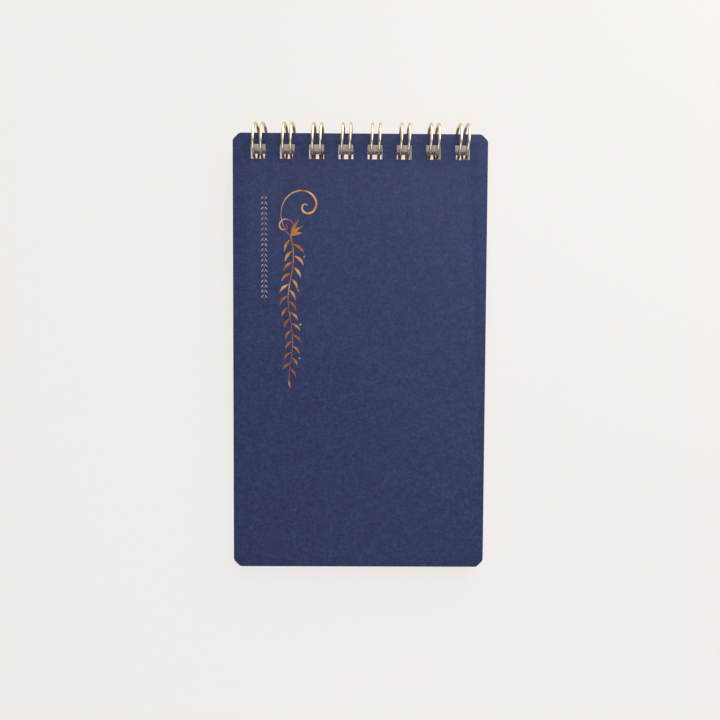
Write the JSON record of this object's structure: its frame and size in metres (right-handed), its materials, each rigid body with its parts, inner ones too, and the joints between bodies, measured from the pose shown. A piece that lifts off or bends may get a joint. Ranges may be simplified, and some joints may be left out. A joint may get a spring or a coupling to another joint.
{
  "type": "pocket notebook",
  "caption": "Pocket notebook with a navy card front cover and a stiff back board, its punched sheets bound along the top edge by a closed twin-loop gold wire.",
  "frame": {"origin": "under the middle of the whole object, level with the lowest point of the wire loops", "axes": "+X along the bound edge, +Y from the middle of the notebook towards the bound edge and its wire loops, +Z out of the front cover"},
  "size_m": [0.074, 0.131, 0.011],
  "materials": {
    "cover_card": "navy card, matte, faint fibre texture",
    "back_board": "solid brown board, matte",
    "sheet_paper": "uncoated writing paper",
    "gold_wire": "gold-toned plated steel wire"
  },
  "bodies": {
    "back_assembly": {"back_cover": "back_board", "twin_loop_wire": "gold_wire"},
    "front_cover": {"front_cover": "cover_card"},
    "sheet_01": {"sheet_01": "sheet_paper"},
    "sheet_02": {"sheet_02": "sheet_paper"},
    "sheet_03": {"sheet_03": "sheet_paper"},
    "sheet_04": {"sheet_04": "sheet_paper"},
    "sheet_05": {"sheet_05": "sheet_paper"},
    "sheet_06": {"sheet_06": "sheet_paper"},
    "sheet_07": {"sheet_07": "sheet_paper"},
    "sheet_08": {"sheet_08": "sheet_paper"},
    "sheet_09": {"sheet_09": "sheet_paper"},
    "sheet_10": {"sheet_10": "sheet_paper"},
    "sheet_11": {"sheet_11": "sheet_paper"},
    "sheet_12": {"sheet_12": "sheet_paper"},
    "sheet_13": {"sheet_13": "sheet_paper"},
    "sheet_14": {"sheet_14": "sheet_paper"},
    "sheet_15": {"sheet_15": "sheet_paper"},
    "sheet_16": {"sheet_16": "sheet_paper"},
    "sheet_17": {"sheet_17": "sheet_paper"},
    "sheet_18": {"sheet_18": "sheet_paper"},
    "sheet_19": {"sheet_19": "sheet_paper"},
    "sheet_20": {"sheet_20": "sheet_paper"},
    "sheet_21": {"sheet_21": "sheet_paper"},
    "sheet_22": {"sheet_22": "sheet_paper"},
    "sheet_23": {"sheet_23": "sheet_paper"},
    "sheet_24": {"sheet_24": "sheet_paper"},
    "sheet_25": {"sheet_25": "sheet_paper"},
    "sheet_26": {"sheet_26": "sheet_paper"},
    "sheet_27": {"sheet_27": "sheet_paper"},
    "sheet_28": {"sheet_28": "sheet_paper"},
    "sheet_29": {"sheet_29": "sheet_paper"},
    "sheet_30": {"sheet_30": "sheet_paper"},
    "sheet_31": {"sheet_31": "sheet_paper"},
    "sheet_32": {"sheet_32": "sheet_paper"},
    "sheet_33": {"sheet_33": "sheet_paper"},
    "sheet_34": {"sheet_34": "sheet_paper"},
    "sheet_35": {"sheet_35": "sheet_paper"},
    "sheet_36": {"sheet_36": "sheet_paper"},
    "sheet_37": {"sheet_37": "sheet_paper"},
    "sheet_38": {"sheet_38": "sheet_paper"},
    "sheet_39": {"sheet_39": "sheet_paper"},
    "sheet_40": {"sheet_40": "sheet_paper"}
  },
  "joints": [
    {"name": "front_cover_turn", "type": "hinge", "parent": "back_assembly", "child": "front_cover", "pos_m": [0, 0.06141, 0.0062], "axis": [-1, 0, 0], "range_deg": [0, 180]},
    {"name": "sheet_01_turn", "type": "hinge", "parent": "back_assembly", "child": "sheet_01", "pos_m": [0, 0.06141, 0.0062], "axis": [-1, 0, 0], "range_deg": [0, 175.61]},
    {"name": "sheet_02_turn", "type": "hinge", "parent": "back_assembly", "child": "sheet_02", "pos_m": [0, 0.06141, 0.0062], "axis": [-1, 0, 0], "range_deg": [0, 171.22]},
    {"name": "sheet_03_turn", "type": "hinge", "parent": "back_assembly", "child": "sheet_03", "pos_m": [0, 0.06141, 0.0062], "axis": [-1, 0, 0], "range_deg": [0, 166.83]},
    {"name": "sheet_04_turn", "type": "hinge", "parent": "back_assembly", "child": "sheet_04", "pos_m": [0, 0.06141, 0.0062], "axis": [-1, 0, 0], "range_deg": [0, 162.44]},
    {"name": "sheet_05_turn", "type": "hinge", "parent": "back_assembly", "child": "sheet_05", "pos_m": [0, 0.06141, 0.0062], "axis": [-1, 0, 0], "range_deg": [0, 158.05]},
    {"name": "sheet_06_turn", "type": "hinge", "parent": "back_assembly", "child": "sheet_06", "pos_m": [0, 0.06141, 0.0062], "axis": [-1, 0, 0], "range_deg": [0, 153.66]},
    {"name": "sheet_07_turn", "type": "hinge", "parent": "back_assembly", "child": "sheet_07", "pos_m": [0, 0.06141, 0.0062], "axis": [-1, 0, 0], "range_deg": [0, 149.27]},
    {"name": "sheet_08_turn", "type": "hinge", "parent": "back_assembly", "child": "sheet_08", "pos_m": [0, 0.06141, 0.0062], "axis": [-1, 0, 0], "range_deg": [0, 144.88]},
    {"name": "sheet_09_turn", "type": "hinge", "parent": "back_assembly", "child": "sheet_09", "pos_m": [0, 0.06141, 0.0062], "axis": [-1, 0, 0], "range_deg": [0, 140.49]},
    {"name": "sheet_10_turn", "type": "hinge", "parent": "back_assembly", "child": "sheet_10", "pos_m": [0, 0.06141, 0.0062], "axis": [-1, 0, 0], "range_deg": [0, 136.1]},
    {"name": "sheet_11_turn", "type": "hinge", "parent": "back_assembly", "child": "sheet_11", "pos_m": [0, 0.06141, 0.0062], "axis": [-1, 0, 0], "range_deg": [0, 131.71]},
    {"name": "sheet_12_turn", "type": "hinge", "parent": "back_assembly", "child": "sheet_12", "pos_m": [0, 0.06141, 0.0062], "axis": [-1, 0, 0], "range_deg": [0, 127.32]},
    {"name": "sheet_13_turn", "type": "hinge", "parent": "back_assembly", "child": "sheet_13", "pos_m": [0, 0.06141, 0.0062], "axis": [-1, 0, 0], "range_deg": [0, 122.93]},
    {"name": "sheet_14_turn", "type": "hinge", "parent": "back_assembly", "child": "sheet_14", "pos_m": [0, 0.06141, 0.0062], "axis": [-1, 0, 0], "range_deg": [0, 118.54]},
    {"name": "sheet_15_turn", "type": "hinge", "parent": "back_assembly", "child": "sheet_15", "pos_m": [0, 0.06141, 0.0062], "axis": [-1, 0, 0], "range_deg": [0, 114.15]},
    {"name": "sheet_16_turn", "type": "hinge", "parent": "back_assembly", "child": "sheet_16", "pos_m": [0, 0.06141, 0.0062], "axis": [-1, 0, 0], "range_deg": [0, 109.76]},
    {"name": "sheet_17_turn", "type": "hinge", "parent": "back_assembly", "child": "sheet_17", "pos_m": [0, 0.06141, 0.0062], "axis": [-1, 0, 0], "range_deg": [0, 105.37]},
    {"name": "sheet_18_turn", "type": "hinge", "parent": "back_assembly", "child": "sheet_18", "pos_m": [0, 0.06141, 0.0062], "axis": [-1, 0, 0], "range_deg": [0, 100.98]},
    {"name": "sheet_19_turn", "type": "hinge", "parent": "back_assembly", "child": "sheet_19", "pos_m": [0, 0.06141, 0.0062], "axis": [-1, 0, 0], "range_deg": [0, 96.59]},
    {"name": "sheet_20_turn", "type": "hinge", "parent": "back_assembly", "child": "sheet_20", "pos_m": [0, 0.06141, 0.0062], "axis": [-1, 0, 0], "range_deg": [0, 92.2]},
    {"name": "sheet_21_turn", "type": "hinge", "parent": "back_assembly", "child": "sheet_21", "pos_m": [0, 0.06141, 0.0062], "axis": [-1, 0, 0], "range_deg": [0, 87.81]},
    {"name": "sheet_22_turn", "type": "hinge", "parent": "back_assembly", "child": "sheet_22", "pos_m": [0, 0.06141, 0.0062], "axis": [-1, 0, 0], "range_deg": [0, 83.42]},
    {"name": "sheet_23_turn", "type": "hinge", "parent": "back_assembly", "child": "sheet_23", "pos_m": [0, 0.06141, 0.0062], "axis": [-1, 0, 0], "range_deg": [0, 79.03]},
    {"name": "sheet_24_turn", "type": "hinge", "parent": "back_assembly", "child": "sheet_24", "pos_m": [0, 0.06141, 0.0062], "axis": [-1, 0, 0], "range_deg": [0, 74.64]},
    {"name": "sheet_25_turn", "type": "hinge", "parent": "back_assembly", "child": "sheet_25", "pos_m": [0, 0.06141, 0.0062], "axis": [-1, 0, 0], "range_deg": [0, 70.24]},
    {"name": "sheet_26_turn", "type": "hinge", "parent": "back_assembly", "child": "sheet_26", "pos_m": [0, 0.06141, 0.0062], "axis": [-1, 0, 0], "range_deg": [0, 65.85]},
    {"name": "sheet_27_turn", "type": "hinge", "parent": "back_assembly", "child": "sheet_27", "pos_m": [0, 0.06141, 0.0062], "axis": [-1, 0, 0], "range_deg": [0, 61.46]},
    {"name": "sheet_28_turn", "type": "hinge", "parent": "back_assembly", "child": "sheet_28", "pos_m": [0, 0.06141, 0.0062], "axis": [-1, 0, 0], "range_deg": [0, 57.07]},
    {"name": "sheet_29_turn", "type": "hinge", "parent": "back_assembly", "child": "sheet_29", "pos_m": [0, 0.06141, 0.0062], "axis": [-1, 0, 0], "range_deg": [0, 52.68]},
    {"name": "sheet_30_turn", "type": "hinge", "parent": "back_assembly", "child": "sheet_30", "pos_m": [0, 0.06141, 0.0062], "axis": [-1, 0, 0], "range_deg": [0, 48.29]},
    {"name": "sheet_31_turn", "type": "hinge", "parent": "back_assembly", "child": "sheet_31", "pos_m": [0, 0.06141, 0.0062], "axis": [-1, 0, 0], "range_deg": [0, 43.9]},
    {"name": "sheet_32_turn", "type": "hinge", "parent": "back_assembly", "child": "sheet_32", "pos_m": [0, 0.06141, 0.0062], "axis": [-1, 0, 0], "range_deg": [0, 39.51]},
    {"name": "sheet_33_turn", "type": "hinge", "parent": "back_assembly", "child": "sheet_33", "pos_m": [0, 0.06141, 0.0062], "axis": [-1, 0, 0], "range_deg": [0, 35.12]},
    {"name": "sheet_34_turn", "type": "hinge", "parent": "back_assembly", "child": "sheet_34", "pos_m": [0, 0.06141, 0.0062], "axis": [-1, 0, 0], "range_deg": [0, 30.73]},
    {"name": "sheet_35_turn", "type": "hinge", "parent": "back_assembly", "child": "sheet_35", "pos_m": [0, 0.06141, 0.0062], "axis": [-1, 0, 0], "range_deg": [0, 26.34]},
    {"name": "sheet_36_turn", "type": "hinge", "parent": "back_assembly", "child": "sheet_36", "pos_m": [0, 0.06141, 0.0062], "axis": [-1, 0, 0], "range_deg": [0, 21.95]},
    {"name": "sheet_37_turn", "type": "hinge", "parent": "back_assembly", "child": "sheet_37", "pos_m": [0, 0.06141, 0.0062], "axis": [-1, 0, 0], "range_deg": [0, 17.56]},
    {"name": "sheet_38_turn", "type": "hinge", "parent": "back_assembly", "child": "sheet_38", "pos_m": [0, 0.06141, 0.0062], "axis": [-1, 0, 0], "range_deg": [0, 13.17]},
    {"name": "sheet_39_turn", "type": "hinge", "parent": "back_assembly", "child": "sheet_39", "pos_m": [0, 0.06141, 0.0062], "axis": [-1, 0, 0], "range_deg": [0, 8.78]},
    {"name": "sheet_40_turn", "type": "hinge", "parent": "back_assembly", "child": "sheet_40", "pos_m": [0, 0.06141, 0.0062], "axis": [-1, 0, 0], "range_deg": [0, 4.39]}
  ],
  "couplings": [
    {"joint": "sheet_01_turn", "follows": "front_cover_turn", "ratio": 0.97561},
    {"joint": "sheet_02_turn", "follows": "front_cover_turn", "ratio": 0.95122},
    {"joint": "sheet_03_turn", "follows": "front_cover_turn", "ratio": 0.92683},
    {"joint": "sheet_04_turn", "follows": "front_cover_turn", "ratio": 0.90244},
    {"joint": "sheet_05_turn", "follows": "front_cover_turn", "ratio": 0.87805},
    {"joint": "sheet_06_turn", "follows": "front_cover_turn", "ratio": 0.85366},
    {"joint": "sheet_07_turn", "follows": "front_cover_turn", "ratio": 0.82927},
    {"joint": "sheet_08_turn", "follows": "front_cover_turn", "ratio": 0.80488},
    {"joint": "sheet_09_turn", "follows": "front_cover_turn", "ratio": 0.78049},
    {"joint": "sheet_10_turn", "follows": "front_cover_turn", "ratio": 0.7561},
    {"joint": "sheet_11_turn", "follows": "front_cover_turn", "ratio": 0.73171},
    {"joint": "sheet_12_turn", "follows": "front_cover_turn", "ratio": 0.70732},
    {"joint": "sheet_13_turn", "follows": "front_cover_turn", "ratio": 0.68293},
    {"joint": "sheet_14_turn", "follows": "front_cover_turn", "ratio": 0.65854},
    {"joint": "sheet_15_turn", "follows": "front_cover_turn", "ratio": 0.63415},
    {"joint": "sheet_16_turn", "follows": "front_cover_turn", "ratio": 0.60976},
    {"joint": "sheet_17_turn", "follows": "front_cover_turn", "ratio": 0.58537},
    {"joint": "sheet_18_turn", "follows": "front_cover_turn", "ratio": 0.56098},
    {"joint": "sheet_19_turn", "follows": "front_cover_turn", "ratio": 0.53658},
    {"joint": "sheet_20_turn", "follows": "front_cover_turn", "ratio": 0.51219},
    {"joint": "sheet_21_turn", "follows": "front_cover_turn", "ratio": 0.4878},
    {"joint": "sheet_22_turn", "follows": "front_cover_turn", "ratio": 0.46342},
    {"joint": "sheet_23_turn", "follows": "front_cover_turn", "ratio": 0.43902},
    {"joint": "sheet_24_turn", "follows": "front_cover_turn", "ratio": 0.41463},
    {"joint": "sheet_25_turn", "follows": "front_cover_turn", "ratio": 0.39024},
    {"joint": "sheet_26_turn", "follows": "front_cover_turn", "ratio": 0.36585},
    {"joint": "sheet_27_turn", "follows": "front_cover_turn", "ratio": 0.34146},
    {"joint": "sheet_28_turn", "follows": "front_cover_turn", "ratio": 0.31707},
    {"joint": "sheet_29_turn", "follows": "front_cover_turn", "ratio": 0.29268},
    {"joint": "sheet_30_turn", "follows": "front_cover_turn", "ratio": 0.26829},
    {"joint": "sheet_31_turn", "follows": "front_cover_turn", "ratio": 0.2439},
    {"joint": "sheet_32_turn", "follows": "front_cover_turn", "ratio": 0.21951},
    {"joint": "sheet_33_turn", "follows": "front_cover_turn", "ratio": 0.19512},
    {"joint": "sheet_34_turn", "follows": "front_cover_turn", "ratio": 0.17073},
    {"joint": "sheet_35_turn", "follows": "front_cover_turn", "ratio": 0.14634},
    {"joint": "sheet_36_turn", "follows": "front_cover_turn", "ratio": 0.12195},
    {"joint": "sheet_37_turn", "follows": "front_cover_turn", "ratio": 0.097561},
    {"joint": "sheet_38_turn", "follows": "front_cover_turn", "ratio": 0.073171},
    {"joint": "sheet_39_turn", "follows": "front_cover_turn", "ratio": 0.04878},
    {"joint": "sheet_40_turn", "follows": "front_cover_turn", "ratio": 0.02439}
  ]
}
